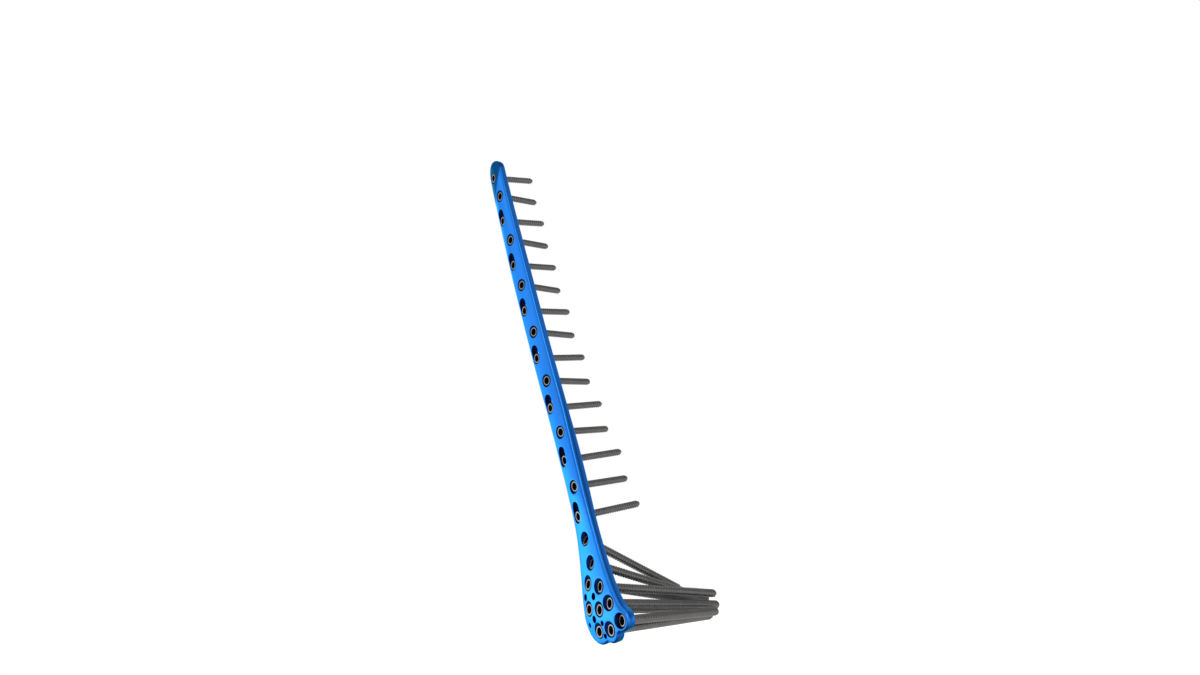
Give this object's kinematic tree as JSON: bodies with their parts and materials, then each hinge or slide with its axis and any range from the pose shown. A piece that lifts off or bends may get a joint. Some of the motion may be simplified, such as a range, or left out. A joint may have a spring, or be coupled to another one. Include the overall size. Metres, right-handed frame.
{
  "type": "bone plate",
  "caption": "Long, gently bowed bone plate with a broad lobed head, slots and round holes, and locking screws seated in it.",
  "frame": {"origin": "on the axis of the middle shaft screw, the eighth from the tip, where its shank begins just under the plate", "axes": "+Z along the plate towards its narrow tip, with the broad head at the bottom; the screws run along +Y into the bone, and the outer face looks along -Y; +X is the side of the front lobe of the head"},
  "size_m": [0.0492, 0.0856, 0.3419],
  "materials": {
    "anodised_plate": "satin anodised blue titanium",
    "screw_metal": "fine turned grey titanium"
  },
  "bodies": {
    "root": {"bone_plate": "anodised_plate", "shaft_screw_01": "screw_metal", "shaft_screw_02": "screw_metal", "shaft_screw_03": "screw_metal", "shaft_screw_04": "screw_metal", "shaft_screw_05": "screw_metal", "shaft_screw_06": "screw_metal", "shaft_screw_07": "screw_metal", "shaft_screw_08": "screw_metal", "shaft_screw_09": "screw_metal", "shaft_screw_10": "screw_metal", "shaft_screw_11": "screw_metal", "shaft_screw_12": "screw_metal", "shaft_screw_13": "screw_metal", "shaft_screw_14": "screw_metal", "shaft_screw_15": "screw_metal", "neck_screw_upper": "screw_metal", "neck_screw_lower": "screw_metal", "head_screw_a": "screw_metal", "head_screw_b": "screw_metal", "head_screw_c": "screw_metal", "head_screw_d": "screw_metal", "head_screw_e": "screw_metal", "head_screw_f": "screw_metal", "head_screw_g": "screw_metal", "head_screw_h": "screw_metal"}
  },
  "joints": []
}
